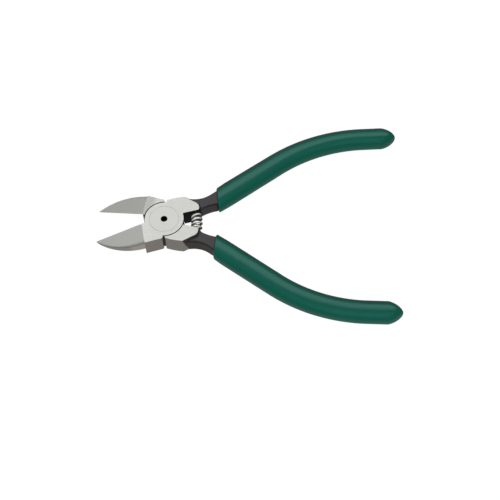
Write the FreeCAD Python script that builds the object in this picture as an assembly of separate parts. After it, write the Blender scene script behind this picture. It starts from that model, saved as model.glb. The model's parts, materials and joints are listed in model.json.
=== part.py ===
"""Flush cut pliers with a lap joint, a return spring and dipped plastic grips.

Units are millimetres. The pivot axis is the Z axis. Z = 0 is the back face of the head, on which the
pliers lie, and +Z points out of the front face. +X points from the pivot to the handles.

Each half is drawn in its closed position, where the cutting edges meet on the X axis, and is then
turned about the pivot by OPEN_HALF_ANGLE, the position in which the spring holds it.
"""

import FreeCAD, Part
import math
import os

# ---------------------------------------------------------------- driving dimensions
OPEN_HALF_ANGLE = 14.3        # degrees that each half stands open when nobody squeezes the handles

# Head
HEAD_THICKNESS = 10.0
ROOT_HALF_WIDTH = 11.15       # from the tool's axis to the head's side wall, at the blade's root
HEAD_HALF_WIDTH = 10.8        # the same at the opening stop, on the blade's side
SHOULDER_HALF_WIDTH = 10.5    # the same on the handle side of the pivot
SHOULDER_CROWN = 0.1          # how far the shoulder's side wall bulges
DISC_RADIUS = 9.7             # round lap of each half
DISC_CLEARANCE = 0.45         # radial gap between a lap and the other half's recess
LAP_GAP = 0.06                # gap between the two laps along Z
NOTCH_GAP = 1.0               # gap of the opening stop with the handles at rest
NOTCH_SHIFT = 0.25            # from the pivot to the middle of that gap, towards the handles
NOTCH_CHAMFER = 0.45          # corner broken off the notch's mouth
NOTCH_CHAMFER_RISE = 0.15     # height of that corner along the notch's wall
NOTCH_ROOT_INSET = 1.0        # how far the notch's walls reach into the laps
INNER_WALL_Y = 0.95           # half of the gap between the arms' inner walls when closed

# Blades
TIP_X = -35.2
BLADE_ROOT_X = -11.35         # where the flush face starts to slope, on the tool's axis
BLADE_ROOT_TILT = 3.5         # degrees that this crease leans towards the tip on its way outwards
HEEL_X = -11.0                # where the relief behind the heel ends, just short of the lap
HEEL_RELIEF_REACH = 6.0       # how far that relief reaches outwards
TIP_DROP = 7.05               # how far the tip lies under the front face
SPINE_RADIUS = 30.0           # outline of the blade's outer side
BACK_ROOT_Z = 4.5             # height of the blade's back at its root
BACK_TIP_Z = 2.1              # height of the blade's back at its tip
BEVEL_ANGLE = 35.0            # degrees between the flush face and the cutting bevel behind it
EDGE_GAP = 0.02               # from each cutting edge to the X axis when closed
SPINE_TIP_FILLET = 0.3        # rounding of the blade's outer side at the tip
SPINE_ROOT_FILLET = 1.3       # and at the root

# Pivot rivet
RIVET_HEAD_RADIUS = 7.3
RIVET_HEAD_HEIGHT = 2.4
RIVET_SHANK_RADIUS = 4.5
RIVET_CLEARANCE = 0.05        # radial clearance of the front half on the rivet
RIVET_TAIL_RADIUS = 6.4       # peened tail in the rear half's countersink
RIVET_TAIL_HEIGHT = 1.9
CENTRE_HOLE_RADIUS = 1.7
CENTRE_HOLE_DEPTH = 3.2
DRILL_POINT_ANGLE = 118.0

# Arms and tangs
ARM_THICKNESS = 7.2
ARM_HALF_WIDTH = 3.5
ARM_EDGE_FILLET = 0.9
NECK_RADIUS = 13.0            # hollow on the outer side between the shoulder and the arm
NECK_LOW_Y = 8.35             # lowest point of that hollow
FACE_END = (17.7, 5.0)        # end of the straight slanting limit of the ground face
FACE_SHOULDER = (12.4, 10.2)  # its start, at the shoulder's corner
STEP_RUN = 1.1                # width of the slope from the ground face down to the arm
STEP_SHOULDER_RUN = (1.43, -0.17)  # the same at the shoulder's corner, along X and Y
STEP_END_RUN = (0.81, 0.74)   # the same at the end of the slanting limit
NOSE_BULGE = 0.65             # how far the ground face's end bulges towards the arm
ARM_ROOT = (11.5, 6.5)        # the arm's bar starts inside the shoulder
ARM_WALL_END_X = 17.5         # end of the arm's straight inner wall
ARM_INNER_START_X = 27.5      # where the arm's inner side joins the handle line
ARM_INNER_MIDDLE = (21.5, 2.2)  # middle of the hollow between the two

# Handle line: a straight run, a long arc bending back towards the axis, and a short straight run
HANDLE_ANGLE = 22.0           # degrees from the X axis on the first run
HANDLE_THROUGH = (58.9, 19.1)  # a point on the first run
BEND_START_X = 62.0
BEND_RADIUS = 80.0
HANDLE_END_ANGLE = -12.0
HANDLE_TIP_X = 125.2

# Grips
GRIP_WIDTH = 11.5
GRIP_FILLET = 3.0
GRIP_NOSE = 8.6               # length of the pointed end
UPPER_MOUTH_X = 28.45         # where the mouth crosses the middle of the handle
LOWER_MOUTH_X = 27.8
GRIP_MOUTH_TILT = 6.5         # degrees that the mouth leans from a right angle to the tool's axis
GRIP_MOUTH_FILLET = 0.6
GRIP_SPARE_LENGTH = 8.0       # drawn past the mouth and then cut off at its plane
TANG_END_GAP = 9.0            # from the tang's end to the grip's tip

# Return spring
SPRING_X = 16.1               # from the pivot to the spring's sockets
SPRING_WIRE_RADIUS = 0.6
SPRING_COIL_RADIUS = 2.3      # to the middle of the wire
SPRING_TURNS = 8
SPRING_END_GAP = 0.1          # from each end of the wire to its socket's bottom
SOCKET_RADIUS = 3.05
SOCKET_DEPTH = 3.65
POINTS_PER_TURN = 12

# ---------------------------------------------------------------- worked-out sizes
MID_Z = HEAD_THICKNESS / 2
ARM_LOW_Z = MID_Z - ARM_THICKNESS / 2
ARM_HIGH_Z = MID_Z + ARM_THICKNESS / 2
RECESS_RADIUS = DISC_RADIUS + DISC_CLEARANCE
HANDLE_SLOPE = math.radians(HANDLE_ANGLE)
END_SLOPE = math.radians(HANDLE_END_ANGLE)
OPEN_SLOPE = math.radians(OPEN_HALF_ANGLE)
FAR = 60.0                    # reach of cutting tools past the head
HALF_FAR = FAR / 2
OVERSHOOT = 1.0               # how far the smaller cutting tools reach past a face
TINY = 0.01                   # tolerance when edges are picked by their place
BLADE_LENGTH = BLADE_ROOT_X - TIP_X
BLADE_CORNER_X = BLADE_ROOT_X - ROOT_HALF_WIDTH * math.tan(math.radians(BLADE_ROOT_TILT))
UP = FreeCAD.Vector(0, 0, 1)
PIVOT = FreeCAD.Vector(0, 0, 0)


def point(x, y, z=0.0):
    return FreeCAD.Vector(x, y, z)


def line(start, end):
    return Part.LineSegment(start, end).toShape()


def arc(start, middle, end):
    return Part.Arc(start, middle, end).toShape()


def prism(edges, low, high):
    """Solid over a closed plan outline drawn at Z = 0."""
    face = Part.Face(Part.Wire(Part.sortEdges(edges)[0]))
    face.translate(point(0, 0, low))
    return face.extrude(point(0, 0, high - low))


def side_prism(profile, low_y, high_y):
    """Solid over an outline given as (x, z) pairs, reaching from low_y to high_y."""
    corners = [point(x, low_y, z) for x, z in profile]
    wire = Part.makePolygon(corners + corners[:1])
    return Part.Face(wire).extrude(point(0, high_y - low_y, 0))


def cylinder(radius, low, high):
    """Cylinder about the pivot axis between two heights."""
    return Part.makeCylinder(radius, high - low, point(0, 0, low))


def turned(x, y, angle):
    """Plan point turned about the pivot by an angle in radians."""
    return (x * math.cos(angle) - y * math.sin(angle), x * math.sin(angle) + y * math.cos(angle))


def arc_middle(start, end, radius):
    """Middle point of an arc that bulges to the right of the way from start to end."""
    chord = end.sub(start)
    half = chord.Length / 2
    sagitta = radius - math.sqrt(radius ** 2 - half ** 2)
    right = point(chord.y, -chord.x).normalize()
    return start.add(end).multiply(0.5).add(right.multiply(sagitta))


# ---------------------------------------------------------------- handle line
def handle_y(x):
    """Height of the handle's straight run at x."""
    return HANDLE_THROUGH[1] + (x - HANDLE_THROUGH[0]) * math.tan(HANDLE_SLOPE)


BEND_CENTRE = point(
    BEND_START_X + BEND_RADIUS * math.sin(HANDLE_SLOPE),
    handle_y(BEND_START_X) - BEND_RADIUS * math.cos(HANDLE_SLOPE),
)


def bend_point(slope, offset):
    """Point beside the bend where the handle has the given slope, offset to its outer side."""
    reach = BEND_RADIUS + offset
    return BEND_CENTRE.add(point(-reach * math.sin(slope), reach * math.cos(slope)))


def handle_tip():
    bend_end = bend_point(END_SLOPE, 0)
    return point(HANDLE_TIP_X, bend_end.y + (HANDLE_TIP_X - bend_end.x) * math.tan(END_SLOPE))


def handle_side(start, offset, end_gap):
    """Edges along one side of the handle, from a point on that side to end_gap before the tip."""
    bend_in = bend_point(HANDLE_SLOPE, offset)
    bend_top = bend_point(0, offset)
    bend_out = bend_point(END_SLOPE, offset)
    along = point(math.cos(END_SLOPE), math.sin(END_SLOPE))
    across = point(-math.sin(END_SLOPE), math.cos(END_SLOPE))
    end = handle_tip().sub(along * end_gap).add(across * offset)
    return [line(start, bend_in), arc(bend_in, bend_top, bend_out), line(bend_out, end)], end


def beside_handle(x, offset):
    """Point at x on the line beside the handle's first run."""
    return point(x, handle_y(x) + offset / math.cos(HANDLE_SLOPE))


# ---------------------------------------------------------------- the two forged halves
def notch_corner(side, x, y):
    """Corner of the opening stop, placed where the half stands open and turned back to closed."""
    return turned(NOTCH_SHIFT - side * x, -side * y, -OPEN_SLOPE)


def notch_outline(side, outer_y):
    """Notch wall from inside the lap out to the side wall, with its mouth corner broken off."""
    wall_x = NOTCH_GAP / 2
    root_y = DISC_RADIUS - NOTCH_ROOT_INSET
    inner = notch_corner(side, wall_x, root_y)
    near_mouth = notch_corner(side, wall_x, outer_y - NOTCH_CHAMFER_RISE)
    mouth = (near_mouth[0] - side * NOTCH_CHAMFER, -side * outer_y)
    return inner, near_mouth, mouth


def blade_block():
    """Blade and the head beside it, in plan: the blade lies on the -Y side."""
    inner, near_mouth, mouth = notch_outline(1, HEAD_HALF_WIDTH)
    tip = point(TIP_X, -EDGE_GAP)
    shoulder = point(BLADE_CORNER_X, -ROOT_HALF_WIDTH)
    spine = arc(tip, arc_middle(tip, shoulder, SPINE_RADIUS), shoulder)
    corners = [shoulder, point(*mouth), point(*near_mouth), point(*inner), point(0, -EDGE_GAP), tip]
    outline = [spine] + [line(a, b) for a, b in zip(corners, corners[1:])]
    return prism(outline, 0, HEAD_THICKNESS)


def blade_wedge():
    """Room for the blade alone: sloping flush face in front, thinner back, ending at the crease."""
    slope = TIP_DROP / (BLADE_LENGTH * math.cos(math.radians(BLADE_ROOT_TILT)))
    back_slope = (BACK_ROOT_Z - BACK_TIP_Z) / BLADE_LENGTH
    past_tip = TIP_X - OVERSHOOT
    past_length = BLADE_ROOT_X - past_tip
    profile = [
        (past_tip, HEAD_THICKNESS - past_length * slope),
        (BLADE_ROOT_X, HEAD_THICKNESS),
        (BLADE_ROOT_X, BACK_ROOT_Z),
        (past_tip, BACK_ROOT_Z - past_length * back_slope),
    ]
    return tilted(side_prism(profile, -FAR, FAR))


def head_room():
    """Everything on the head's side of the crease."""
    return tilted(Part.makeBox(FAR, FAR, HEAD_THICKNESS, point(BLADE_ROOT_X, -HALF_FAR, 0)))


def tilted(solid):
    """Turned in plan with the crease, so that its outer end lies nearer the tip."""
    solid.rotate(point(BLADE_ROOT_X, 0), UP, -BLADE_ROOT_TILT)
    return solid


def edge_height(x):
    """Height of the cutting edge at x."""
    return HEAD_THICKNESS - (BLADE_ROOT_X - x) * TIP_DROP / BLADE_LENGTH


def bevel_section(x, edge_z, reach, foot_z):
    """Outline across the blade of what the bevel takes away: it falls from the edge over reach."""
    fall = reach * math.tan(math.radians(BEVEL_ANGLE))
    corners = [
        point(x, -EDGE_GAP, edge_z),
        point(x, -EDGE_GAP - reach, edge_z - fall),
        point(x, -EDGE_GAP - reach, foot_z),
        point(x, OVERSHOOT, foot_z),
        point(x, OVERSHOOT, edge_z),
    ]
    return Part.makePolygon(corners + corners[:1])


def cutting_bevel():
    """Material taken away behind the flush face, so that the edge is sharp and in the flush plane."""
    reach = ROOT_HALF_WIDTH * 2
    ends = (TIP_X - 2 * OVERSHOOT, BLADE_CORNER_X)
    sections = [bevel_section(x, edge_height(x), reach, -reach) for x in ends]
    return Part.makeLoft(sections, True, True)


def heel_relief():
    """The bevel's run from the blade's root into the lap, with a straight wall where it ends."""
    face = Part.Face(bevel_section(BLADE_CORNER_X, HEAD_THICKNESS, HEEL_RELIEF_REACH, -OVERSHOOT))
    return face.extrude(point(HEEL_X - BLADE_CORNER_X, 0))


def blade_solid():
    """Blade with its sloping face, thin back and rounded spine, then the square head block behind it."""
    block = blade_block()
    blade = block.common(blade_wedge())
    blade = blade.makeFillet(SPINE_ROOT_FILLET, SPINE_TIP_FILLET, spine_edges(blade))
    other_side = Part.makeBox(FAR, FAR, FAR, point(-FAR, -EDGE_GAP, -HALF_FAR))
    whole = blade.fuse(block.common(head_room()))
    return whole.cut(cutting_bevel()).cut(heel_relief()).cut(other_side)


def spine_edges(block):
    """The curved edge between the flush face and the blade's outer side."""
    found = []
    for edge in block.Edges:
        middle = edge.valueAt((edge.FirstParameter + edge.LastParameter) / 2)
        box = edge.BoundBox
        lengthwise = box.XLength > BLADE_LENGTH / 2 and box.XMax < DISC_RADIUS
        on_spine = middle.y < -ROOT_HALF_WIDTH / 2 and middle.z > MID_Z
        if lengthwise and on_spine:
            found.append(edge)
    return found


def shoulder_outline(level, run):
    """Plan outline of the ground shoulder at one height; run 1 is the foot of the slope to the arm."""
    inner, near_mouth, mouth = notch_outline(-1, SHOULDER_HALF_WIDTH)
    corner = point(*FACE_SHOULDER).add(point(*STEP_SHOULDER_RUN) * run)
    slant_end = point(*FACE_END).add(point(*STEP_END_RUN) * run)
    wall_end = point(FACE_END[0] + STEP_RUN * run, INNER_WALL_Y)
    nose = point(slant_end.x + NOSE_BULGE, (slant_end.y + INNER_WALL_Y) / 2)
    side_middle = point((mouth[0] + corner.x) / 2, SHOULDER_HALF_WIDTH + SHOULDER_CROWN)
    wall_start = point(0, INNER_WALL_Y)
    wire = Part.Wire([
        line(wall_start, wall_end),
        arc(wall_end, nose, slant_end),
        line(slant_end, corner),
        arc(corner, side_middle, point(*mouth)),
        line(point(*mouth), point(*near_mouth)),
        line(point(*near_mouth), point(*inner)),
        line(point(*inner), wall_start),
    ])
    wire.translate(point(0, 0, level))
    return wire


def shoulder_solid():
    """Ground shoulder on the handle side of the pivot, with a slope down to the arm on both faces."""
    levels = [(0, 0), (ARM_LOW_Z, 1), (ARM_HIGH_Z, 1), (HEAD_THICKNESS, 0)]
    return Part.makeLoft([shoulder_outline(level, run) for level, run in levels], True, True)


def arm_solid():
    """Arm from the shoulder into the grip, with the tang as one bar of even section."""
    neck_centre_y = NECK_LOW_Y + NECK_RADIUS
    tangent_y = neck_centre_y - NECK_RADIUS * math.cos(HANDLE_SLOPE)
    drop = HANDLE_THROUGH[1] + ARM_HALF_WIDTH / math.cos(HANDLE_SLOPE) - tangent_y
    tangent_x = HANDLE_THROUGH[0] - drop / math.tan(HANDLE_SLOPE)
    neck_centre_x = tangent_x - NECK_RADIUS * math.sin(HANDLE_SLOPE)
    start_y = FACE_SHOULDER[1]
    start_x = neck_centre_x - math.sqrt(NECK_RADIUS ** 2 - (neck_centre_y - start_y) ** 2)
    neck_start = point(start_x, start_y)
    neck_low = point(neck_centre_x, NECK_LOW_Y)
    neck_end = point(tangent_x, tangent_y)
    upper, upper_end = handle_side(neck_end, ARM_HALF_WIDTH, TANG_END_GAP + ARM_HALF_WIDTH)
    inner_start = beside_handle(ARM_INNER_START_X, -ARM_HALF_WIDTH)
    lower, lower_end = handle_side(inner_start, -ARM_HALF_WIDTH, TANG_END_GAP + ARM_HALF_WIDTH)
    along = point(math.cos(END_SLOPE), math.sin(END_SLOPE))
    round_end = handle_tip().sub(along * TANG_END_GAP)
    wall_end = point(ARM_WALL_END_X, INNER_WALL_Y)
    root = point(*ARM_ROOT)
    root_foot = point(root.x, INNER_WALL_Y)
    outline = [arc(neck_start, neck_low, neck_end)] + upper + [arc(upper_end, round_end, lower_end)] + lower
    outline += [
        arc(inner_start, point(*ARM_INNER_MIDDLE), wall_end),
        line(wall_end, root_foot),
        line(root_foot, root),
        line(root, neck_start),
    ]
    bar = prism(outline, ARM_LOW_Z, ARM_HIGH_Z)
    long_edges = []
    for edge in bar.Edges:
        box = edge.BoundBox
        if box.ZLength < TINY and box.XMin > neck_start.x - TINY and box.XMax > wall_end.x + TINY:
            long_edges.append(edge)
    return bar.makeFillet(ARM_EDGE_FILLET, long_edges)


def spring_socket():
    """Blind round hole in the arm's inner wall for one end of the spring."""
    start = point(SPRING_X, INNER_WALL_Y - OVERSHOOT, MID_Z)
    return Part.makeCylinder(SOCKET_RADIUS, SOCKET_DEPTH + OVERSHOOT, start, point(0, 1, 0))


def mirrored(shape):
    """The same shape on the other side of the tool's axis."""
    return shape.mirror(PIVOT, point(0, 1, 0))


def flipped(shape):
    """The same shape seen from the back: turned half a turn about the tool's axis in mid thickness."""
    copy = shape.copy()
    copy.rotate(point(0, 0, MID_Z), point(1, 0, 0), 180)
    return copy


def opened(shape, side):
    copy = shape.copy()
    copy.rotate(PIVOT, UP, side * OPEN_HALF_ANGLE)
    return copy


def half_without_lap():
    """Everything on one half except the lap, closed, with the blade on the -Y side."""
    return blade_solid().fuse(shoulder_solid()).fuse(arm_solid()).cut(spring_socket())


def lap_disc():
    return cylinder(DISC_RADIUS, MID_Z + LAP_GAP / 2, HEAD_THICKNESS)


def lap_recess():
    """Room for the other half's disc in the layer behind this half's own disc."""
    return cylinder(RECESS_RADIUS, -OVERSHOOT, MID_Z + LAP_GAP / 2)


def front_half():
    radius = RIVET_SHANK_RADIUS + RIVET_CLEARANCE
    head_radius = RIVET_HEAD_RADIUS + RIVET_CLEARANCE
    counterbore_floor = HEAD_THICKNESS - RIVET_HEAD_HEIGHT - RIVET_CLEARANCE
    half = half_without_lap().cut(lap_recess()).fuse(lap_disc())
    half = half.cut(cylinder(radius, -OVERSHOOT, HEAD_THICKNESS + OVERSHOOT))
    half = half.cut(cylinder(head_radius, counterbore_floor, HEAD_THICKNESS + OVERSHOOT))
    return opened(half.removeSplitter(), 1)


def rear_half():
    """Mirror image of the front half, with its lap in the back layer and the rivet's countersink."""
    half = mirrored(half_without_lap()).cut(flipped(lap_recess())).fuse(flipped(lap_disc()))
    half = half.cut(rivet_tail())
    half = half.cut(cylinder(RIVET_SHANK_RADIUS, -OVERSHOOT, HEAD_THICKNESS + OVERSHOOT))
    return opened(half.removeSplitter(), -1)


# ---------------------------------------------------------------- rivet, grips and spring
def rivet_tail():
    return Part.makeCone(RIVET_TAIL_RADIUS, RIVET_SHANK_RADIUS, RIVET_TAIL_HEIGHT)


def pivot_rivet():
    """Large flush head in front, shank, and a conical tail peened flush into the rear half."""
    head = cylinder(RIVET_HEAD_RADIUS, HEAD_THICKNESS - RIVET_HEAD_HEIGHT, HEAD_THICKNESS)
    shank = cylinder(RIVET_SHANK_RADIUS, 0, HEAD_THICKNESS)
    rivet = head.fuse(shank).fuse(rivet_tail())
    hole_floor = HEAD_THICKNESS - CENTRE_HOLE_DEPTH
    point_depth = CENTRE_HOLE_RADIUS / math.tan(math.radians(DRILL_POINT_ANGLE / 2))
    hole = cylinder(CENTRE_HOLE_RADIUS, hole_floor, HEAD_THICKNESS + OVERSHOOT)
    drill_point = Part.makeCone(0, CENTRE_HOLE_RADIUS, point_depth, point(0, 0, hole_floor - point_depth))
    return rivet.cut(hole).cut(drill_point).removeSplitter()


def grip_outline():
    """Plan outline of a grip that is still closed at the head end, before its mouth is cut."""
    half = GRIP_WIDTH / 2
    start_x = LOWER_MOUTH_X - GRIP_SPARE_LENGTH
    upper_start = beside_handle(start_x, half)
    lower_start = beside_handle(start_x, -half)
    upper, upper_end = handle_side(upper_start, half, GRIP_NOSE)
    lower, lower_end = handle_side(lower_start, -half, GRIP_NOSE)
    tip = handle_tip()
    nose_centre = upper_end.add(lower_end).multiply(0.5)
    nose = Part.Ellipse(tip, upper_end, nose_centre)
    quarter = math.pi / 2
    nose_edge = Part.ArcOfEllipse(nose, -quarter, quarter).toShape()
    return upper + [nose_edge] + lower + [line(lower_start, upper_start)]


def grip_mouth_tool(mouth_x):
    """Everything on the head side of the mouth's plane."""
    box = Part.makeBox(FAR, FAR, FAR, point(-FAR, -HALF_FAR, -HALF_FAR))
    box.rotate(PIVOT, UP, -GRIP_MOUTH_TILT)
    box.translate(point(mouth_x, handle_y(mouth_x), 0))
    return box


def grip(closed_half, mouth_x):
    """Hollow sleeve round the tang, closed at its pointed end."""
    body = prism(grip_outline(), 0, HEAD_THICKNESS)
    past_mouth = mouth_x + GRIP_WIDTH / 2 * math.tan(math.radians(GRIP_MOUTH_TILT)) + OVERSHOOT
    rims = [edge for edge in body.Edges if edge.BoundBox.ZLength < TINY and edge.BoundBox.XMax > past_mouth]
    body = body.makeFillet(GRIP_FILLET, rims).cut(grip_mouth_tool(mouth_x))
    mouth = [edge for edge in body.Edges if edge.BoundBox.XMax < past_mouth]
    body = body.makeFillet(GRIP_MOUTH_FILLET, mouth)
    return body.cut(closed_half)


def spring_axis():
    """Radius and centre of the arc that the spring's middle line follows between the two sockets."""
    mouth_x, mouth_y = turned(SPRING_X, INNER_WALL_Y, OPEN_SLOPE)
    arc_radius = mouth_y / math.sin(OPEN_SLOPE)
    return arc_radius, mouth_x - arc_radius * math.cos(OPEN_SLOPE)


def spring_point(distance):
    """Place on the middle line and its outward direction, at a distance along it from the middle."""
    arc_radius, centre_x = spring_axis()
    half_arc = arc_radius * OPEN_SLOPE
    inside = max(-half_arc, min(half_arc, distance))
    angle = inside / arc_radius
    outward = point(math.cos(angle), math.sin(angle))
    along = point(-math.sin(angle), math.cos(angle))
    place = point(centre_x, 0, MID_Z).add(outward * arc_radius).add(along * (distance - inside))
    return place, outward


def return_spring():
    """Round wire wound right-handed about the curved line, straight inside both sockets."""
    reach = spring_axis()[0] * OPEN_SLOPE + SOCKET_DEPTH - SPRING_WIRE_RADIUS - SPRING_END_GAP
    steps = SPRING_TURNS * POINTS_PER_TURN
    wire_points = []
    for step in range(steps + 1):
        share = step / steps
        place, outward = spring_point((2 * share - 1) * reach)
        turn = 2 * math.pi * SPRING_TURNS * share
        swing = outward * math.cos(turn) - UP * math.sin(turn)
        wire_points.append(place.add(swing * SPRING_COIL_RADIUS))
    curve = Part.BSplineCurve()
    curve.interpolate(wire_points)
    path = Part.Wire(curve.toShape())
    start, direction = curve.value(0), curve.tangent(0)[0]
    section = Part.Wire(Part.Circle(start, direction, SPRING_WIRE_RADIUS).toShape())
    return path.makePipeShell([section], True, True)


# ---------------------------------------------------------------- build
def main():
    os.makedirs("parts", exist_ok=True)
    front = front_half()
    rear = rear_half()
    upper_grip = grip(opened(front, -1), UPPER_MOUTH_X)
    lower_grip = grip(mirrored(opened(rear, 1)), LOWER_MOUTH_X)
    nodes = {
        "front_half": front,
        "rear_half": rear,
        "pivot_rivet": pivot_rivet(),
        "return_spring": return_spring(),
        "upper_grip": opened(upper_grip, 1),
        "lower_grip": opened(mirrored(lower_grip), -1),
    }
    for name, shape in nodes.items():
        solid = shape.Solids[0]
        solid.exportStep("parts/" + name + ".step")
        print(name, "solids", len(shape.Solids), "valid", solid.isValid(), "volume", round(solid.Volume))


main()
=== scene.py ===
"""Visible model of the flush cut pliers: ground head, black oxide arms, dipped grips and coil spring.

Lengths are in millimetres until they reach Blender, which works in metres. A half is described in its
closed position, with its blade on the -Y side and its handle on the +Y side. The front half is the
closed one turned by the opening angle, and the rear half is its mirror image.
"""
import json
import math

import bmesh
import bpy
from mathutils import Matrix, Vector


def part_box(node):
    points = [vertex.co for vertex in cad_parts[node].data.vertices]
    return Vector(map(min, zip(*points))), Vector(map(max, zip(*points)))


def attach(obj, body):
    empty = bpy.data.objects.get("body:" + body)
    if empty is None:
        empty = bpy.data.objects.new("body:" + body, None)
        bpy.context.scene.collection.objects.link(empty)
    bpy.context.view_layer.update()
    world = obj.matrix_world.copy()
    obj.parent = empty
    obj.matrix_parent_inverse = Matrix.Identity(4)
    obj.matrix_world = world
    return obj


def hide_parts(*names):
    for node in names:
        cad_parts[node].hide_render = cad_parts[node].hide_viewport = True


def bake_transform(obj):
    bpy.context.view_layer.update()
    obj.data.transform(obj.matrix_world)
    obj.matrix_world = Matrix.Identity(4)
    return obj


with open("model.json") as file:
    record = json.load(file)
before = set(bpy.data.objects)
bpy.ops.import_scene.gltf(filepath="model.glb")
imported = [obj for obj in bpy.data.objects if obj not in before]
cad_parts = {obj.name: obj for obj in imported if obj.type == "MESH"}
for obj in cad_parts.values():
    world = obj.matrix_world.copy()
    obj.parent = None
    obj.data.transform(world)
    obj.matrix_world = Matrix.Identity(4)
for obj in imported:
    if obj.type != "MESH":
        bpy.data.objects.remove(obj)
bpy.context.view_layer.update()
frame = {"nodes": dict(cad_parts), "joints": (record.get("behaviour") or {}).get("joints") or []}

MM = 0.001
JOINT = frame["joints"][0]
OPEN_ANGLE = math.radians(-JOINT["range_deg"][0] / 2)   # each half's turn from closed to rest
PIVOT = Vector(JOINT["pos_m"])
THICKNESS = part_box("pivot_rivet")[1].z / MM
MID_Z = THICKNESS / 2
HALVES = {"front": 1, "rear": -1}       # side of the tool's axis that the handle is on

# ---------------------------------------------------------------- handle line, millimetres and degrees
HANDLE_ANGLE = 22.0
HANDLE_THROUGH = (58.9, 19.1)           # a point on the straight stretch
BEND_START_X = 62.0
BEND_RADIUS = 80.0
HANDLE_END_ANGLE = -12.0
HANDLE_TIP_X = 125.2

# ---------------------------------------------------------------- grips
GRIP_WIDTH = 11.45                      # at the mouth
GRIP_TIP_WIDTH = {"upper": 10.2, "lower": 10.85}        # where the pointed end begins
GRIP_MOUTH_X = {"upper": 28.45, "lower": 27.8}
GRIP_MOUTH_TILT = 6.5                   # how far the mouth is off square to the tool's axis
GRIP_LEAN_REACH = 14.0                  # behind the mouth, until the sections stand square to the handle
GRIP_LIP_RADIUS = 1.0
GRIP_NOSE = 7.4                         # length of the pointed end
GRIP_POWER = 2.5                        # of the superellipse across the handle; 2 is an ellipse
NOSE_POWER_Y = 1.42                     # of the nose's outline seen from the front
NOSE_POWER_Z = 2.3                      # and seen from the side
NECK_WIDTH_LOSS = 0.04                  # the share by which the grip is thinner at its mouth
NECK_WIDTH_REACH = 7.0                  # and the length over which it fills out
NECK_THICKNESS_LOSS = 0.02
NECK_THICKNESS_REACH = 6.0
GRIP_SIDES = 72                         # points round a section
GRIP_STEP = 0.9                         # distance between sections
LIP_STEPS = 6
NOSE_STEPS = 24

TANG_WIDTH = 7.0
TANG_THICKNESS = 7.2
TANG_POWER = 6.0
TANG_END_GAP = 9.0                      # from the tang's end to the grip's tip

# ---------------------------------------------------------------- spring
SPRING_X = 16.1
SPRING_WIRE_RADIUS = 0.6
SPRING_COIL_RADIUS = 2.3
SPRING_REACH_IN = 3.0                   # how far the spring's end lies inside its socket
SPRING_ACTIVE_TURNS = 5.8
SPRING_DEAD_TURNS = 1.0                 # closed turns at each end
SPRING_DEAD_PITCH = 2.15 * SPRING_WIRE_RADIUS           # just over the wire's diameter
WIRE_SIDES = 16
WIRE_STEPS_PER_TURN = 40

# ---------------------------------------------------------------- zones of the steel
# A pair says where a zone's mask is 0 and where it is 1, so it may fall as well as rise.
BLADE_ROOT_X = -11.35                   # crease between the flat head and the sloping flush face
BLADE_ROOT_LEAN = 0.061                 # how far the crease leans towards the tip per millimetre outwards
BLADE_ROOT_EDGES = (0.05, -0.05)
SPINE_CREAM_X = (-21.0, -17.0)          # the blade's outer side turns cream coloured towards the root
WALL_END_X = 12.4                     # where the milled side wall gives way to black oxide, at the front
WALL_END_LEAN = 0.38                  # how far that limit leans back per millimetre down
WALL_END_EDGES = (0.35, -0.35)
SIDE_WALL_Y = (8.4, 8.6)
BEYOND_LAPS = (10.25, 10.4)             # distance from the pivot axis
INNER_WALL_Y = 0.95                     # half of the gap between the arms' inner walls when closed
INNER_WALL_EDGES = (INNER_WALL_Y + 0.5, INNER_WALL_Y + 0.2)
BEHIND_PIVOT_X = (0.0, 1.0)
BESIDE_DISC_X = (-6.0, -9.0)
FLAT_FACE_HEIGHT = (MID_Z - 0.06, MID_Z - 0.03)         # from the middle of the head's thickness
LEVEL = (0.90, 0.97)                    # the share of the surface's normal that points along Z
UPRIGHT = (0.75, 0.50)
ROUNDING_BELOW = (0.945, 0.92)
ROUNDING_ABOVE = (0.55, 0.70)
WORN_EDGE_RADIUS = 0.3
WORN_EDGE = (0.985, 0.90)               # the share of the normal that is left when the edge is rounded
EDGE_SAMPLES = 4

HOLE_RADIUS = (1.75, 1.70)              # the rivet's centre hole
HOLE_TOP = (THICKNESS - 0.05, THICKNESS - 0.3)
HOLE_BOTTOM_RADIUS = (1.0, 0.4)

# ---------------------------------------------------------------- tones, tints and roughness
NEUTRAL = (1.0, 1.0, 1.0)
OLIVE = (0.99, 1.0, 0.95)
BROWN = (1.06, 1.0, 0.93)
CREAM = (1.06, 1.0, 0.88)
PLUM = (1.05, 1.0, 1.05)

OXIDE_TONES = (0.07, 0.12)
OXIDE_WALL_TONES = (0.11, 0.17)         # where the surface is upright
OXIDE_WORN_TONE = 0.20
OXIDE_WORN_SHARE = 0.35
# black oxide of the inner walls between the arms, darkened further with painted shade
INNER_WALL_OXIDE_AND_SHADE_TONE = 0.03
MILLED_TONES = (0.38, 0.66)
SATIN_TONES = {"front": 0.55, "rear": 0.50}             # the sloping flush face
SATIN_SPREAD = (0.88, 1.12)
SPINE_TONE = 0.66
SPINE_CREAM_TONE = 0.84
SPINE_SHARE = 0.85
# painted highlight on the rounding between the flush face and the blade's outer side
ROUNDING_HIGHLIGHT_TONE = 0.85
GROUND_TONES = (0.50, 0.67)
GROUND_CLOUD_TONE = 0.55
GROUND_CLOUD_SHARE = 0.6
BLOCK_TONES = {"front": 0.58, "rear": 0.42}             # ground face beside the blade
BLOCK_SPREAD = (0.60, 1.45)
RIVET_TONES = (0.52, 0.62)
# painted shade inside the centre hole, which stays lighter at the middle of its bottom
HOLE_SHADE_TONE = 0.03
HOLE_BOTTOM_TONE = 0.6
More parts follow.
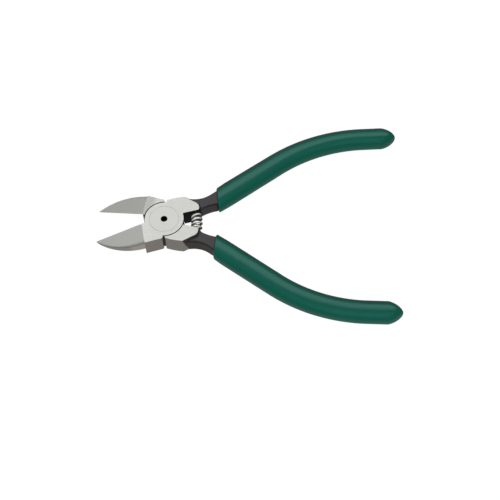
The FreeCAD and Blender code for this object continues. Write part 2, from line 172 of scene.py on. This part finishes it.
# the spring's tones are painted light: a painted highlight and painted shade
NICKEL_HIGHLIGHT_TONES = (0.92, 1.0)
NICKEL_SHADE_TONE = 0.04
NICKEL_METALLIC = 0.45
NICKEL_HIGHLIGHT_FACING = (0.70, 0.30)            # painted highlight where the wire faces the eye
NICKEL_HIGHLIGHT_UPWARD = (0.15, 0.60)            # and upwards; painted shade elsewhere
GREEN_DARK = (0.0005, 0.064, 0.043, 1)
GREEN_LIGHT = (0.001, 0.076, 0.052, 1)
GREEN_GLOSS_TINT = (0.55, 1, 0.92, 1)
GREEN_GLOSS = 0.56
TABLE_TONES = (0.07, 0.09)
TABLE_GLOW = 0.95
STUDIO_TONES = (0.42, 0.20, 0.26)       # below, around and above

GRAIN_SPREAD = (0.2, 0.8)
OXIDE_ROUGHNESS = (0.48, 0.66)
MILLED_ROUGHNESS = 0.5
SATIN_ROUGHNESS = (0.44, 0.56)
GROUND_ROUGHNESS = (0.36, 0.46)
NICKEL_ROUGHNESS = (0.10, 0.20)
GRIP_ROUGHNESS = (0.25, 0.33)
TABLE_ROUGHNESS = (0.75, 0.85)

STEEL_BUMP = 0.02                       # height of the texture's relief, millimetres
STEEL_ROUNDING = 0.12                   # radius over which an edge is shaded round
RIVET_BUMP = 0.012
RIVET_ROUNDING = 0.08
NICKEL_BUMP = 0.004
GRIP_BUMP = 0.01

TEXTURES = {                            # scale or stretch along X, Y and Z, detail, roughness
    "grind": ((6.0, 0.30, 0.30), 4.0, 0.60),
    "surface": ((0.5, 9.0, 9.0), 4.0, 0.65),
    "cloud": (0.16, 2.0, 0.50),
    "grain": (2.6, 4.0, 0.70),
    "speckle": (1.1, 5.0, 0.80),
    "rings": (6.0, 4.0, 0.60),
    "wire": (5.0, 3.0, 0.50),
    "dip": (0.09, 3.0, 0.50),
    "peel": (1.5, 3.0, 0.55),
    "table": (3.0, 2.0, 0.50),
}

# ---------------------------------------------------------------- stage, with lights in metres and watts
CAMERA_AZIMUTH = 4.37
CAMERA_ELEVATION = 58.73
CAMERA_ROLL = -4.14
CAMERA_DISTANCE = 687.5
CAMERA_RIGHT = 42.55
CAMERA_DOWN = 15.45
CAMERA_LENS = 100
CAMERA_SENSOR = 36
CAMERA_NEAREST = 10

TABLE_HALF_SIDE = 3.0
LIGHTS = {                              # place, point that it faces, sides, power
    "overhead": ((0.05, 0.52, 0.8), (0.05, 0.52, 0), (1.3, 0.46), 3.1),
    "left": ((-0.65, 0.62, 0.8), (-0.65, 0.62, 0), (0.6, 0.9), 2.0),
    "fill": ((0.05, -1.1, 1.05), (0.05, 0, 0), (1.6, 1.6), 28),
}
NOT_IN_GLOSS = ("fill",)


# ---------------------------------------------------------------- shader helpers
def grey(tone, tint=NEUTRAL):
    """A tone of grey with a slight tint."""
    return (tone * tint[0], tone * tint[1], tone * tint[2], 1.0)


class Finish:
    """A material's node tree, with one short method for each kind of node."""

    def __init__(self, name, **constants):
        self.material = bpy.data.materials.new(name)
        self.material.use_nodes = True
        self.tree = self.material.node_tree
        self.shader = self.tree.nodes["Principled BSDF"]
        for key, value in constants.items():
            self.shader.inputs[key.replace("_", " ")].default_value = value

    def plug(self, socket, value):
        if isinstance(value, bpy.types.NodeSocket):
            self.tree.links.new(value, socket)
        else:
            socket.default_value = value

    def node(self, kind, inputs=None, **settings):
        node = self.tree.nodes.new("ShaderNode" + kind)
        for key, value in settings.items():
            setattr(node, key, value)
        for key, value in (inputs or {}).items():
            self.plug(node.inputs[key], value)
        return node

    def maths(self, operation, *values):
        node = self.node("Math", operation=operation)
        for socket, value in zip(node.inputs, values):
            self.plug(socket, value)
        return node.outputs[0]

    def step(self, value, start, end):
        """0 before start, 1 after end, smooth between them; start may be the larger."""
        inputs = {"Value": value, "From Min": start, "From Max": end}
        return self.node("MapRange", inputs, interpolation_type="SMOOTHSTEP").outputs["Result"]

    def ramp(self, value, low, high):
        """Spreads 0..1 over low..high."""
        return self.node("MapRange", {"Value": value, "To Min": low, "To Max": high}).outputs["Result"]

    def both(self, *masks):
        result = masks[0]
        for mask in masks[1:]:
            result = self.maths("MULTIPLY", result, mask)
        return result

    def mix(self, factor, under, over):
        """Colours, mixed by a mask."""
        node = self.node("Mix", data_type="RGBA")
        self.plug(node.inputs["Factor"], factor)
        self.plug(node.inputs["A"], under)
        self.plug(node.inputs["B"], over)
        return node.outputs["Result"]

    def greys(self, factor, tones, tint=NEUTRAL):
        """Between two tones of one tint, as a texture says."""
        low, high = tones
        return self.mix(factor, grey(low, tint), grey(high, tint))

    def blend(self, factor, under, over):
        """Numbers, mixed by a mask."""
        node = self.node("Mix", data_type="FLOAT")
        for name, value in (("Factor", factor), ("A", under), ("B", over)):
            self.plug(next(s for s in node.inputs if s.name == name and s.type == "VALUE"), value)
        return node.outputs["Result"]

    def mapping(self, vector, scale, turn=0.0):
        """Scaled, and then turned about Z."""
        inputs = {"Vector": vector, "Scale": scale, "Rotation": (0, 0, turn)}
        return self.node("Mapping", inputs).outputs["Vector"]

    def place(self, scale, turn=0.0):
        """Object coordinates, scaled and turned."""
        return self.mapping(self.node("TexCoord").outputs["Object"], scale, turn)

    def texture(self, vector, name):
        """Noise, scaled evenly by one number or stretched by three."""
        scale, detail, roughness = TEXTURES[name]
        if isinstance(scale, tuple):
            vector = self.mapping(vector, scale)
            scale = 1.0
        inputs = {"Vector": vector, "Scale": scale, "Detail": detail, "Roughness": roughness}
        return self.node("TexNoise", inputs).outputs["Fac"]

    def radius(self, x, y):
        """Distance from the pivot axis."""
        squares = self.maths("ADD", self.maths("MULTIPLY", x, x), self.maths("MULTIPLY", y, y))
        return self.maths("SQRT", squares)

    def split(self, vector):
        outputs = self.node("SeparateXYZ", {"Vector": vector}).outputs
        return outputs["X"], outputs["Y"], outputs["Z"]

    def bump(self, height, distance, rounding=0.0):
        """Height is 0..1 and distance is what 1 stands for; rounding softens sharp edges. Millimetres."""
        inputs = {"Height": height, "Distance": distance * MM}
        if rounding:
            inputs["Normal"] = self.rounded(rounding)
        self.plug(self.shader.inputs["Normal"], self.node("Bump", inputs).outputs["Normal"])

    def rounded(self, radius):
        """The surface's normal, turned over a radius beside each edge."""
        return self.node("Bevel", {"Radius": radius * MM}, samples=EDGE_SAMPLES).outputs["Normal"]

    def worn_edges(self):
        """1 on edges, 0 elsewhere."""
        product = self.node("VectorMath", operation="DOT_PRODUCT")
        self.plug(product.inputs[0], self.rounded(WORN_EDGE_RADIUS))
        self.plug(product.inputs[1], self.node("NewGeometry").outputs["Normal"])
        return self.step(product.outputs["Value"], *WORN_EDGE)

    def paint(self, colour, roughness):
        self.plug(self.shader.inputs["Base Color"], colour)
        self.plug(self.shader.inputs["Roughness"], roughness)


# ---------------------------------------------------------------- steel halves
def steel_zones(finish, place, side):
    """A mask for each zone of a half, by its place and the way that its surface faces."""
    facing = finish.mapping(finish.node("TexCoord").outputs["Normal"], (1, side, 1), -OPEN_ANGLE)
    x, y, z = finish.split(place)
    flatness = finish.maths("ABSOLUTE", finish.split(facing)[2])
    upright = finish.step(flatness, *UPRIGHT)

    height = finish.maths("ABSOLUTE", finish.maths("SUBTRACT", z, MID_Z))
    crease = finish.maths("SUBTRACT", x, finish.maths("MULTIPLY", y, BLADE_ROOT_LEAN))
    from_crease = finish.maths("SUBTRACT", crease, BLADE_ROOT_X)
    blade = finish.step(from_crease, *BLADE_ROOT_EDGES)
    lean = finish.maths("MULTIPLY", finish.maths("SUBTRACT", THICKNESS, z), WALL_END_LEAN)
    from_wall_end = finish.maths("SUBTRACT", finish.maths("SUBTRACT", x, lean), WALL_END_X)
    outer = finish.step(finish.maths("ABSOLUTE", y), *SIDE_WALL_Y)
    beyond_laps = finish.step(finish.radius(x, y), *BEYOND_LAPS)
    rounding = finish.both(finish.step(flatness, *ROUNDING_ABOVE), finish.step(flatness, *ROUNDING_BELOW))
    inner = finish.both(finish.step(y, *INNER_WALL_EDGES), finish.step(x, *BEHIND_PIVOT_X))
    return {
        "upright": upright,
        "ground": finish.both(finish.step(height, *FLAT_FACE_HEIGHT), finish.step(flatness, *LEVEL)),
        "blade": blade,
        "spine": finish.both(blade, upright),
        "rounding": finish.both(blade, rounding),
        "near_root": finish.step(x, *SPINE_CREAM_X),
        "wall": finish.both(finish.step(from_wall_end, *WALL_END_EDGES), outer, beyond_laps),
        "inner_wall": finish.both(inner, upright),
        "beside_disc": finish.step(x, *BESIDE_DISC_X),
    }


def oxide_colour(finish, zones, textures):
    """Black oxide, paler on upright walls and worn edges, and nearly black between the arms, where painted
    shade darkens the oxide of the inner walls.
    """
    colour = finish.greys(finish.ramp(textures["grain"], *GRAIN_SPREAD), OXIDE_TONES, PLUM)
    worn = finish.both(finish.worn_edges(), OXIDE_WORN_SHARE)
    colour = finish.mix(worn, colour, grey(OXIDE_WORN_TONE, PLUM))
    wall = finish.greys(textures["grain"], OXIDE_WALL_TONES, BROWN)
    colour = finish.mix(zones["upright"], colour, wall)
    # painted shade: the inner walls between the arms are darkened past the oxide's own tone
    return finish.mix(zones["inner_wall"], colour, grey(INNER_WALL_OXIDE_AND_SHADE_TONE, PLUM))


def satin_colour(finish, zones, textures, half):
    """The blade: satin flush face, brown to cream outer side and a painted highlight on the rounding between
    them.
    """
    tones = [SATIN_TONES[half] * spread for spread in SATIN_SPREAD]
    colour = finish.greys(textures["grind"], tones, OLIVE)
    spine = finish.mix(zones["near_root"], grey(SPINE_TONE, BROWN), grey(SPINE_CREAM_TONE, CREAM))
    colour = finish.mix(finish.both(zones["spine"], SPINE_SHARE), colour, spine)
    # painted highlight on the rounding, picked by how its surface faces
    return finish.mix(zones["rounding"], colour, grey(ROUNDING_HIGHLIGHT_TONE, OLIVE))


def ground_colour(finish, zones, textures, half):
    """The flat faces: bright and slowly clouded, speckled in the block beside the blade."""
    colour = finish.greys(textures["surface"], GROUND_TONES, OLIVE)
    clouds = finish.both(textures["cloud"], GROUND_CLOUD_SHARE)
    colour = finish.mix(clouds, colour, grey(GROUND_CLOUD_TONE, OLIVE))
    tones = [BLOCK_TONES[half] * spread for spread in BLOCK_SPREAD]
    block = finish.greys(textures["speckle"], tones, OLIVE)
    return finish.mix(zones["beside_disc"], colour, block)


def steel_finish(half, side):
    """Ground faces, satin blades, milled side walls and black oxide arms, as one half shows them."""
    finish = Finish(half + "_half_steel", Metallic=1.0)
    place = finish.place((1 / MM, side / MM, 1 / MM), -OPEN_ANGLE)
    zones = steel_zones(finish, place, side)
    names = ("grind", "surface", "cloud", "grain", "speckle")
    textures = {name: finish.texture(place, name) for name in names}

    milled = finish.greys(textures["grind"], MILLED_TONES, BROWN)
    colour = finish.mix(zones["wall"], oxide_colour(finish, zones, textures), milled)
    colour = finish.mix(zones["blade"], colour, satin_colour(finish, zones, textures, half))
    colour = finish.mix(zones["ground"], colour, ground_colour(finish, zones, textures, half))

    oxide_roughness = finish.ramp(textures["grain"], *OXIDE_ROUGHNESS)
    roughness = finish.blend(zones["wall"], oxide_roughness, MILLED_ROUGHNESS)
    roughness = finish.blend(zones["blade"], roughness, finish.ramp(textures["grind"], *SATIN_ROUGHNESS))
    roughness = finish.blend(zones["ground"], roughness, finish.ramp(textures["surface"], *GROUND_ROUGHNESS))
    finish.paint(colour, roughness)

    height = finish.blend(zones["wall"], textures["grain"], textures["grind"])
    height = finish.blend(zones["blade"], height, textures["grind"])
    height = finish.blend(zones["ground"], height, textures["surface"])
    finish.bump(height, STEEL_BUMP, STEEL_ROUNDING)
    return finish.material


# ---------------------------------------------------------------- other finishes
def rivet_finish():
    """Turned and ground flush, with faint rings, and painted shade in the centre hole, which is lighter at
    the middle of its bottom.
    """
    finish = Finish("rivet_steel_turned", Metallic=1.0)
    x, y, z = finish.split(finish.place((1 / MM,) * 3))
    radius = finish.radius(x, y)
    rings = finish.texture(finish.node("CombineXYZ", {"X": radius}).outputs[0], "rings")
    hole = finish.both(finish.step(radius, *HOLE_RADIUS), finish.step(z, *HOLE_TOP))
    # painted shade on the walls of the centre hole
    inside = finish.greys(finish.step(radius, *HOLE_BOTTOM_RADIUS), (HOLE_SHADE_TONE, HOLE_BOTTOM_TONE))
    colour = finish.mix(hole, finish.greys(rings, RIVET_TONES, OLIVE), inside)
    finish.paint(colour, finish.ramp(rings, *GROUND_ROUGHNESS))
    finish.bump(rings, RIVET_BUMP, RIVET_ROUNDING)
    return finish.material


def spring_finish():
    """Nickel plate with a painted highlight where the wire faces the eye and upwards, and painted shade
    wherever it faces sideways.
    """
    finish = Finish("spring_nickel", Metallic=NICKEL_METALLIC)
    grain = finish.texture(finish.place((1 / MM,) * 3), "wire")
    grazing = finish.node("LayerWeight", {"Blend": 0.5}).outputs["Facing"]
    upward = finish.split(finish.node("TexCoord").outputs["Normal"])[2]
    # painted highlight where the wire faces the eye and upwards, painted shade elsewhere
    lit = finish.both(finish.step(grazing, *NICKEL_HIGHLIGHT_FACING), finish.step(upward, *NICKEL_HIGHLIGHT_UPWARD))
    colour = finish.mix(lit, grey(NICKEL_SHADE_TONE), finish.greys(grain, NICKEL_HIGHLIGHT_TONES, OLIVE))
    finish.paint(colour, finish.ramp(grain, *NICKEL_ROUGHNESS))
    finish.bump(grain, NICKEL_BUMP)
    return finish.material


def grip_finish():
    """Dark green dipped plastic: satin, with a fine orange peel and slow clouds in the colour."""
    gloss = {"Specular_IOR_Level": GREEN_GLOSS, "Specular_Tint": GREEN_GLOSS_TINT}
    finish = Finish("green_dipped_plastic", Metallic=0.0, **gloss)
    place = finish.place((1 / MM,) * 3)
    peel = finish.texture(place, "peel")
    colour = finish.mix(finish.texture(place, "dip"), GREEN_DARK, GREEN_LIGHT)
    finish.paint(colour, finish.ramp(peel, *GRIP_ROUGHNESS))
    finish.bump(peel, GRIP_BUMP)
    return finish.material


# ---------------------------------------------------------------- handle line
HANDLE_SLOPE = math.radians(HANDLE_ANGLE)
END_SLOPE = math.radians(HANDLE_END_ANGLE)
BEND_START_Y = HANDLE_THROUGH[1] + (BEND_START_X - HANDLE_THROUGH[0]) * math.tan(HANDLE_SLOPE)
BEND_START = Vector((BEND_START_X, BEND_START_Y))
BEND_CENTRE = BEND_START + BEND_RADIUS * Vector((math.sin(HANDLE_SLOPE), -math.cos(HANDLE_SLOPE)))
BEND_LENGTH = BEND_RADIUS * (HANDLE_SLOPE - END_SLOPE)
BEND_END = BEND_CENTRE + BEND_RADIUS * Vector((-math.sin(END_SLOPE), math.cos(END_SLOPE)))
HANDLE_LENGTH = BEND_LENGTH + (HANDLE_TIP_X - BEND_END.x) / math.cos(END_SLOPE)


def handle_point(distance):
    """Place and slope of the handle line at a distance from where its bend starts."""
    if distance < 0:
        slope = HANDLE_SLOPE
        place = BEND_START + distance * Vector((math.cos(slope), math.sin(slope)))
    elif distance < BEND_LENGTH:
        slope = HANDLE_SLOPE - distance / BEND_RADIUS
        place = BEND_CENTRE + BEND_RADIUS * Vector((-math.sin(slope), math.cos(slope)))
    else:
        slope = END_SLOPE
        place = BEND_END + (distance - BEND_LENGTH) * Vector((math.cos(slope), math.sin(slope)))
    return place, slope


def smooth(share):
    share = min(1.0, max(0.0, share))
    return share * share * (3 - 2 * share)


def section(distance, half_width, half_thickness, power, lean):
    """Points of a superellipse across the handle; lean turns the section's plane about Z."""
    place, slope = handle_point(distance)
    across = Vector((-math.sin(slope + lean), math.cos(slope + lean)))
    points = []
    for index in range(GRIP_SIDES):
        angle = 2 * math.pi * index / GRIP_SIDES
        cosine, sine = math.cos(angle), math.sin(angle)
        sideways = math.copysign(abs(cosine) ** (2 / power), cosine) * half_width
        upwards = math.copysign(abs(sine) ** (2 / power), sine) * half_thickness
        flat = place + across * sideways
        points.append(Vector((flat.x, flat.y, MID_Z + upwards)))
    return points


# ---------------------------------------------------------------- meshes
def loft(bm, rings):
    """Skins a list of rings, and returns their vertices."""
    loops = [[bm.verts.new(p) for p in ring] for ring in rings]
    for near, far in zip(loops, loops[1:]):
        for i in range(len(near)):
            j = (i + 1) % len(near)
            bm.faces.new((near[i], near[j], far[j], far[i]))
    return loops


def close(bm, loop, peak):
    """Fan from a loop to one point."""
    top = bm.verts.new(peak)
    for i in range(len(loop)):
        bm.faces.new((loop[i], loop[(i + 1) % len(loop)], top))


def to_rest(bm, side):
    """From a closed half in millimetres to its place at rest in metres."""
    if side < 0:
        bmesh.ops.scale(bm, vec=(1, -1, 1), verts=bm.verts)
        bmesh.ops.reverse_faces(bm, faces=bm.faces)
    turn = Matrix.Rotation(side * OPEN_ANGLE, 4, "Z")
    bmesh.ops.transform(bm, matrix=Matrix.Translation(PIVOT) @ turn @ Matrix.Scale(MM, 4), verts=bm.verts)


def make_object(name, bm, material):
    bmesh.ops.recalc_face_normals(bm, faces=bm.faces)
    mesh = bpy.data.meshes.new(name)
    bm.to_mesh(mesh)
    bm.free()
    mesh.shade_smooth()
    mesh.materials.append(material)
    piece = bpy.data.objects.new(name, mesh)
    bpy.context.scene.collection.objects.link(piece)
    return piece


# ---------------------------------------------------------------- grips
def mouth_place(mouth_x):
    """Distance along the handle line at which a mouth crosses it."""
    return (mouth_x - BEND_START_X) / math.cos(HANDLE_SLOPE)


def mouth_lean(from_mouth):
    """The mouth is cut across the tool's axis, not the handle, and the sections straighten behind it."""
    lean_at_mouth = -HANDLE_SLOPE - math.radians(GRIP_MOUTH_TILT)
    return lean_at_mouth * (1 - smooth(from_mouth / GRIP_LEAN_REACH))


def nose(share, power):
    """What is left of a half width at a share of the way along the pointed end."""
    return (1 - share ** power) ** (1 / power)


def outer_section(distance, start, tip_width):
    """The grip's outer surface: a tapered body, a thinner neck, a rolled lip and a pointed end."""
    from_mouth = distance - start
    nose_share = min(1.0, max(0.0, 1 - (HANDLE_LENGTH - distance) / GRIP_NOSE))
    taper = smooth(from_mouth / (HANDLE_LENGTH - GRIP_NOSE - start))
    body_width = GRIP_WIDTH + (tip_width - GRIP_WIDTH) * taper
    width = body_width / 2 * nose(nose_share, NOSE_POWER_Y)
    thickness = MID_Z * nose(nose_share, NOSE_POWER_Z)
    width *= 1 - NECK_WIDTH_LOSS * (1 - smooth(from_mouth / NECK_WIDTH_REACH))
    thickness *= 1 - NECK_THICKNESS_LOSS * (1 - smooth(from_mouth / NECK_THICKNESS_REACH))
    if from_mouth < GRIP_LIP_RADIUS:
        inward = 1 - max(0.0, from_mouth) / GRIP_LIP_RADIUS
        cut = GRIP_LIP_RADIUS * (1 - math.sqrt(1 - inward * inward))
        width -= cut
        thickness -= cut
    lean = mouth_lean(from_mouth)
    return section(distance, width / math.cos(lean), thickness, GRIP_POWER, lean)


def inner_section(distance, start):
    """The grip's hollow, which has the tang's section."""
    lean = mouth_lean(distance - start)
    return section(distance, TANG_WIDTH / 2 / math.cos(lean), TANG_THICKNESS / 2, TANG_POWER, lean)


def grip_stations(start):
    """Distances of the outer sections, from the rolled lip at the mouth to the tip."""
    quarter = math.pi / 2
    nose_start = HANDLE_LENGTH - GRIP_NOSE
    body_start = start + GRIP_LIP_RADIUS
    body = nose_start - body_start
    body_steps = round(body / GRIP_STEP)
    stations = [start + GRIP_LIP_RADIUS * (1 - math.cos(quarter * i / LIP_STEPS)) for i in range(LIP_STEPS)]
    stations += [body_start + body * i / body_steps for i in range(body_steps)]
    stations += [nose_start + GRIP_NOSE * math.sin(quarter * i / NOSE_STEPS) for i in range(NOSE_STEPS)]
    return stations


def make_grip(place, side, material):
    """Sleeve with a rolled lip at its mouth, its hollow round the tang, and a pointed closed end."""
    start = mouth_place(GRIP_MOUTH_X[place])
    stations = grip_stations(start)
    tang_end = HANDLE_LENGTH - TANG_END_GAP
    rings = [inner_section(s, start) for s in reversed(stations) if s < tang_end]
    rings += [outer_section(s, start, GRIP_TIP_WIDTH[place]) for s in stations]
    bm = bmesh.new()
    loops = loft(bm, rings)
    hollow_end = handle_point(tang_end)[0]
    close(bm, list(reversed(loops[0])), (hollow_end.x, hollow_end.y, MID_Z))
    tip = handle_point(HANDLE_LENGTH)[0]
    close(bm, loops[-1], (tip.x, tip.y, MID_Z))
    to_rest(bm, side)
    return make_object(place + "_grip_sleeve", bm, material)


def add_grips():
    green = grip_finish()
    for place, body, side in (("upper", "front_body", 1), ("lower", "rear_body", -1)):
        piece = make_grip(place, side, green)
        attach(piece, body)
        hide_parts(place + "_grip")


# ---------------------------------------------------------------- spring
SPRING_MOUTH = Matrix.Rotation(OPEN_ANGLE, 2) @ Vector((SPRING_X, INNER_WALL_Y))    # a socket's, at rest
SPRING_ARC_RADIUS = SPRING_MOUTH.y / math.sin(OPEN_ANGLE)
SPRING_ARC_CENTRE_X = SPRING_MOUTH.x - SPRING_ARC_RADIUS * math.cos(OPEN_ANGLE)
SPRING_HALF_ARC = SPRING_ARC_RADIUS * OPEN_ANGLE
SPRING_REACH = SPRING_HALF_ARC + SPRING_REACH_IN


def spring_place(distance):
    """Place on the spring's middle line and the directions away from the pivot and along the line.

    The line at rest is straight in each socket and an arc between the two mouths. The distance is
    measured from its middle.
    """
    inside = max(-SPRING_HALF_ARC, min(SPRING_HALF_ARC, distance))
    angle = inside / SPRING_ARC_RADIUS
    outward = Vector((math.cos(angle), math.sin(angle), 0))
    along = Vector((-math.sin(angle), math.cos(angle), 0))
    centre = Vector((SPRING_ARC_CENTRE_X, 0, MID_Z))
    return centre + outward * SPRING_ARC_RADIUS + along * (distance - inside), outward, along


def wire_distance(turn, turns):
    """How far along the middle line the wire has come after some of its turns."""
    if turn < SPRING_DEAD_TURNS:
        return -SPRING_REACH + turn * SPRING_DEAD_PITCH
    if turn > turns - SPRING_DEAD_TURNS:
        return SPRING_REACH - (turns - turn) * SPRING_DEAD_PITCH
    share = (turn - SPRING_DEAD_TURNS) / SPRING_ACTIVE_TURNS
    return (2 * share - 1) * (SPRING_REACH - SPRING_DEAD_TURNS * SPRING_DEAD_PITCH)


def wire_centres():
    """Points along the wire's middle, from end to end."""
    turns = SPRING_ACTIVE_TURNS + 2 * SPRING_DEAD_TURNS
    steps = round(turns * WIRE_STEPS_PER_TURN)
    centres = []
    for step in range(steps + 1):
        turn = turns * step / steps
        place, outward, _ = spring_place(wire_distance(turn, turns))
        angle = 2 * math.pi * turn
        swing = outward * math.cos(angle) - Vector((0, 0, 1)) * math.sin(angle)
        centres.append(place + swing * SPRING_COIL_RADIUS)
    return centres


def wire_ring(centre, along, axis):
    """Circle round the wire, square to it and turned as the spring's axis says."""
    side_way = along.cross(axis).normalized()
    up_way = side_way.cross(along)
    ring = []
    for i in range(WIRE_SIDES):
        angle = 2 * math.pi * i / WIRE_SIDES
        ring.append(centre + SPRING_WIRE_RADIUS * (side_way * math.cos(angle) + up_way * math.sin(angle)))
    return ring


def make_spring(material):
    """Open coil with closed turns at both ends, which sit in the arms' sockets."""
    centres = wire_centres()
    before = centres[:1] + centres[:-1]
    after = centres[1:] + centres[-1:]
    axis = spring_place(0)[2]
    bm = bmesh.new()
    loops = loft(bm, [wire_ring(centre, (far - near).normalized(), axis)
                      for centre, near, far in zip(centres, before, after)])
    close(bm, list(reversed(loops[0])), centres[0])
    close(bm, loops[-1], centres[-1])
    bmesh.ops.scale(bm, vec=(MM,) * 3, verts=bm.verts)
    return make_object("coil_spring", bm, material)


def add_spring():
    spring = make_spring(spring_finish())
    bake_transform(spring)
    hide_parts("return_spring")


# ---------------------------------------------------------------- stage
def make_floor():
    """Bright pale table. The object's gloss meets the studio's own ground tone instead of the table."""
    bm = bmesh.new()
    bmesh.ops.create_grid(bm, x_segments=2, y_segments=2, size=TABLE_HALF_SIDE)
    finish = Finish("pale_floor", Emission_Color=grey(1.0), Emission_Strength=TABLE_GLOW)
    tone = finish.texture(finish.place((1.0, 1.0, 1.0)), "table")
    finish.paint(finish.greys(tone, TABLE_TONES), finish.ramp(tone, *TABLE_ROUGHNESS))
    floor = make_object("floor", bm, finish.material)
    floor.visible_glossy = False
    floor.visible_diffuse = False


def make_light(name, place, target, sides, power):
    data = bpy.data.lights.new(name, "AREA")
    data.shape = "RECTANGLE"
    data.size, data.size_y = sides
    data.energy = power
    light = bpy.data.objects.new(name, data)
    light.location = place
    light.rotation_mode = "QUATERNION"
    light.rotation_quaternion = (Vector(target) - Vector(place)).to_track_quat("-Z", "Y")
    light.visible_glossy = name not in NOT_IN_GLOSS
    bpy.context.scene.collection.objects.link(light)


def make_world():
    """Dim studio: a mid grey ground, and walls that are darkest at the horizon."""
    world = bpy.data.worlds.new("studio")
    world.use_nodes = True
    nodes, links = world.node_tree.nodes, world.node_tree.links
    direction = nodes.new("ShaderNodeTexCoord").outputs["Generated"]
    split = nodes.new("ShaderNodeSeparateXYZ")
    links.new(direction, split.inputs["Vector"])
    height = nodes.new("ShaderNodeMapRange")
    height.inputs["From Min"].default_value = -1
    links.new(split.outputs["Z"], height.inputs["Value"])
    tones = nodes.new("ShaderNodeValToRGB")
    links.new(height.outputs["Result"], tones.inputs["Fac"])
    below, around, above = (grey(tone) for tone in STUDIO_TONES)
    ramp = tones.color_ramp
    ramp.elements[0].position, ramp.elements[0].color = 0.0, below
    ramp.elements[1].position, ramp.elements[1].color = 1.0, above
    ramp.elements.new(0.5).color = around
    links.new(tones.outputs["Color"], nodes["Background"].inputs["Color"])
    bpy.context.scene.world = world


def make_camera():
    azimuth, elevation, roll = (math.radians(a) for a in (CAMERA_AZIMUTH, CAMERA_ELEVATION, CAMERA_ROLL))
    back = Vector((math.sin(azimuth) * math.cos(elevation), -math.cos(azimuth) * math.cos(elevation),
                   math.sin(elevation)))
    level = Vector((math.cos(azimuth), math.sin(azimuth), 0))
    upright = back.cross(level)
    right = level * math.cos(roll) + upright * math.sin(roll)
    up = upright * math.cos(roll) - level * math.sin(roll)
    aim = PIVOT + Vector((0, 0, THICKNESS * MM))
    place = aim + (right * CAMERA_RIGHT - up * CAMERA_DOWN + back * CAMERA_DISTANCE) * MM
    data = bpy.data.cameras.new("camera")
    data.lens = CAMERA_LENS
    data.sensor_width = CAMERA_SENSOR
    data.clip_start = CAMERA_NEAREST * MM
    camera = bpy.data.objects.new("camera", data)
    camera.matrix_world = Matrix.Translation(place) @ Matrix((right, up, back)).transposed().to_4x4()
    bpy.context.scene.collection.objects.link(camera)
    bpy.context.scene.camera = camera


# ---------------------------------------------------------------- build
def set_cad_materials():
    """Both halves and the rivet are shown as the CAD nodes themselves."""
    for half, side in HALVES.items():
        frame["nodes"][half + "_half"].data.materials[0] = steel_finish(half, side)
    frame["nodes"]["pivot_rivet"].data.materials[0] = rivet_finish()


def build():
    bpy.context.scene.view_settings.view_transform = "Standard"
    make_camera()
    make_world()
    for name, settings in LIGHTS.items():
        make_light(name, *settings)
    make_floor()
    set_cad_materials()
    add_grips()
    add_spring()


build()
